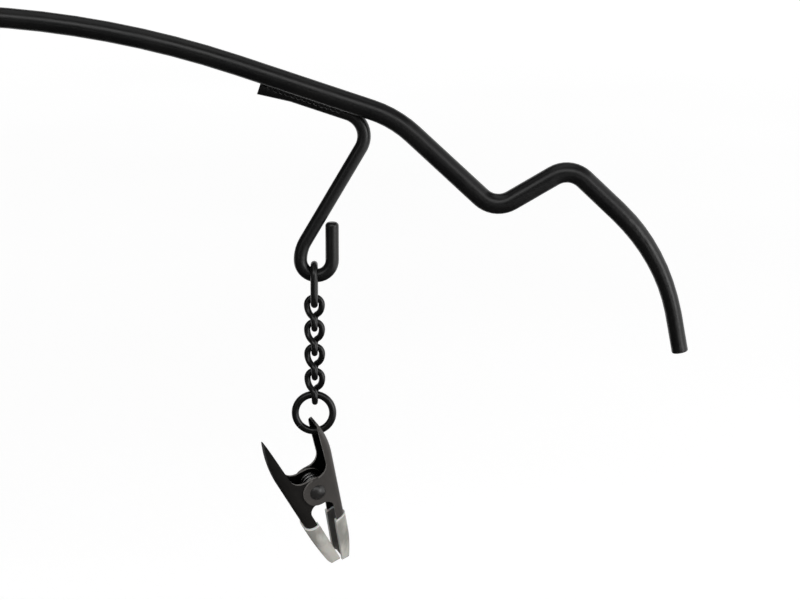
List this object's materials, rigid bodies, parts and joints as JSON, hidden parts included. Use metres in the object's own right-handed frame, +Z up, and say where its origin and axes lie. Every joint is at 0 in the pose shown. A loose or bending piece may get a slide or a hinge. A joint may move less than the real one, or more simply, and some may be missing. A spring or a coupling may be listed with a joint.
{
  "type": "skirt hanger",
  "caption": "Bent black rod clothes hanger with strap notches; a welded drop hook on each arm carries a short chain, a ring and a sprung clip with clear-sleeved jaws.",
  "frame": {"origin": "where the rail touches the inside of the rail hook, at its top", "axes": "+X along the bar to the pictured arm, +Y to the back, +Z up"},
  "size_m": [0.4464, 0.0268, 0.2461],
  "materials": {
    "bar_paint": "satin black paint",
    "chain_paint": "satin black paint",
    "clip_paint": "soft satin black coating on sheet steel",
    "rivet_paint": "satin black coating",
    "spring_steel": "dark oiled spring wire",
    "clear_vinyl": "glossy milky clear dip"
  },
  "bodies": {
    "hanger_frame": {"shoulder_bar": "bar_paint", "rail_hook": "bar_paint", "rail_hook_weld": "bar_paint", "right_drop_hook": "bar_paint", "right_drop_hook_weld": "bar_paint", "left_drop_hook": "bar_paint", "left_drop_hook_weld": "bar_paint"},
    "left_connector": {"left_connector_link": "chain_paint"},
    "left_link_1": {"left_chain_link_1": "chain_paint"},
    "left_link_2": {"left_chain_link_2": "chain_paint"},
    "left_link_3": {"left_chain_link_3": "chain_paint"},
    "left_link_4": {"left_chain_link_4": "chain_paint"},
    "left_ring_body": {"left_ring": "chain_paint"},
    "left_clip": {"left_clip_hanging_jaw": "clip_paint", "left_clip_rivet": "rivet_paint", "left_clip_spring": "spring_steel", "left_clip_hanging_sleeve": "clear_vinyl"},
    "left_clip_arm": {"left_clip_swinging_jaw": "clip_paint", "left_clip_swinging_sleeve": "clear_vinyl"},
    "right_connector": {"right_connector_link": "chain_paint"},
    "right_link_1": {"right_chain_link_1": "chain_paint"},
    "right_link_2": {"right_chain_link_2": "chain_paint"},
    "right_link_3": {"right_chain_link_3": "chain_paint"},
    "right_link_4": {"right_chain_link_4": "chain_paint"},
    "right_ring_body": {"right_ring": "chain_paint"},
    "right_clip": {"right_clip_hanging_jaw": "clip_paint", "right_clip_rivet": "rivet_paint", "right_clip_spring": "spring_steel", "right_clip_hanging_sleeve": "clear_vinyl"},
    "right_clip_arm": {"right_clip_swinging_jaw": "clip_paint", "right_clip_swinging_sleeve": "clear_vinyl"}
  },
  "joints": [
    {"name": "left_connector_swing", "type": "hinge", "parent": "hanger_frame", "child": "left_connector", "pos_m": [-0.1124, 0.00335, -0.14885], "axis": [1, 0, 0], "range_deg": [-30, 30]},
    {"name": "left_link_1_swing", "type": "hinge", "parent": "left_connector", "child": "left_link_1", "pos_m": [-0.1124, 0.00335, -0.1576], "axis": [0, 1, 0], "range_deg": [-20, 20]},
    {"name": "left_link_2_swing", "type": "hinge", "parent": "left_link_1", "child": "left_link_2", "pos_m": [-0.1124, 0.00335, -0.1629], "axis": [1, 0, 0], "range_deg": [-20, 20]},
    {"name": "left_link_3_swing", "type": "hinge", "parent": "left_link_2", "child": "left_link_3", "pos_m": [-0.1124, 0.00335, -0.1724], "axis": [0, 1, 0], "range_deg": [-20, 20]},
    {"name": "left_link_4_swing", "type": "hinge", "parent": "left_link_3", "child": "left_link_4", "pos_m": [-0.1124, 0.00335, -0.1778], "axis": [1, 0, 0], "range_deg": [-20, 20]},
    {"name": "left_ring_swing", "type": "hinge", "parent": "left_link_4", "child": "left_ring_body", "pos_m": [-0.1124, 0.00335, -0.1873], "axis": [0, 1, 0], "range_deg": [-20, 20]},
    {"name": "left_clip_swing", "type": "hinge", "parent": "left_ring_body", "child": "left_clip", "pos_m": [-0.11379, 0.00335, -0.19602], "axis": [0.9532, 0, -0.3024], "range_deg": [-49, 21]},
    {"name": "left_jaw_open", "type": "hinge", "parent": "left_clip", "child": "left_clip_arm", "pos_m": [-0.11139, 0.00716, -0.21453], "axis": [-0.4082, -0.8823, -0.2345], "range_deg": [0, 28], "stiffness_Nm_per_rad": 0.2, "springref_deg": -45.84, "deforming": ["left_clip_spring"]},
    {"name": "right_connector_swing", "type": "hinge", "parent": "hanger_frame", "child": "right_connector", "pos_m": [0.1124, 0.00335, -0.14885], "axis": [1, 0, 0], "range_deg": [-30, 30]},
    {"name": "right_link_1_swing", "type": "hinge", "parent": "right_connector", "child": "right_link_1", "pos_m": [0.1124, 0.00335, -0.1576], "axis": [0, 1, 0], "range_deg": [-20, 20]},
    {"name": "right_link_2_swing", "type": "hinge", "parent": "right_link_1", "child": "right_link_2", "pos_m": [0.1124, 0.00335, -0.1629], "axis": [1, 0, 0], "range_deg": [-20, 20]},
    {"name": "right_link_3_swing", "type": "hinge", "parent": "right_link_2", "child": "right_link_3", "pos_m": [0.1124, 0.00335, -0.1724], "axis": [0, 1, 0], "range_deg": [-20, 20]},
    {"name": "right_link_4_swing", "type": "hinge", "parent": "right_link_3", "child": "right_link_4", "pos_m": [0.1124, 0.00335, -0.1778], "axis": [1, 0, 0], "range_deg": [-20, 20]},
    {"name": "right_ring_swing", "type": "hinge", "parent": "right_link_4", "child": "right_ring_body", "pos_m": [0.1124, 0.00335, -0.1873], "axis": [0, 1, 0], "range_deg": [-20, 20]},
    {"name": "right_clip_swing", "type": "hinge", "parent": "right_ring_body", "child": "right_clip", "pos_m": [0.11379, 0.00335, -0.19602], "axis": [0.9532, 0, 0.3024], "range_deg": [-49, 21]},
    {"name": "right_jaw_open", "type": "hinge", "parent": "right_clip", "child": "right_clip_arm", "pos_m": [0.11138, 0.00722, -0.21451], "axis": [-0.4092, 0.881, 0.2375], "range_deg": [0, 28], "stiffness_Nm_per_rad": 0.2, "springref_deg": -45.84, "deforming": ["right_clip_spring"]}
  ]
}
